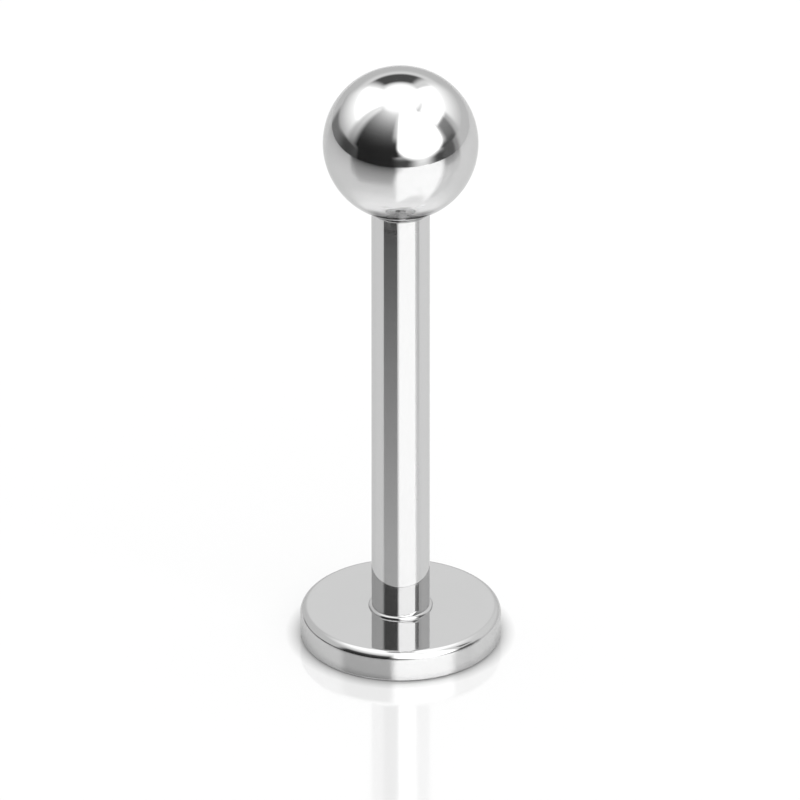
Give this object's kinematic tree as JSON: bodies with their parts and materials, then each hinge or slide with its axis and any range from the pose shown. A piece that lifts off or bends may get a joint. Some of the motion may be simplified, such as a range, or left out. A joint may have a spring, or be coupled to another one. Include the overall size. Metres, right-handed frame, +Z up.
{
  "type": "labret stud",
  "caption": "Labret stud with a flat round disc, a straight welded post and a round ball that screws off the threaded tip.",
  "frame": {"origin": "centre of the underside of the disc, where the stud stands", "axes": "+Z up along the post, from the disc to the ball; the stud is round about Z, so X and Y are free"},
  "size_m": [0.004, 0.004, 0.0126],
  "materials": {
    "back_steel": "mirror polished surgical steel",
    "ball_steel": "mirror polished surgical steel"
  },
  "bodies": {
    "back": {"back": "back_steel"},
    "ball": {"ball": "ball_steel"}
  },
  "joints": [
    {"name": "ball_unscrew", "type": "slide", "parent": "back", "child": "ball", "axis": [0, 0, 1], "range_m": [0, 0.012]}
  ]
}
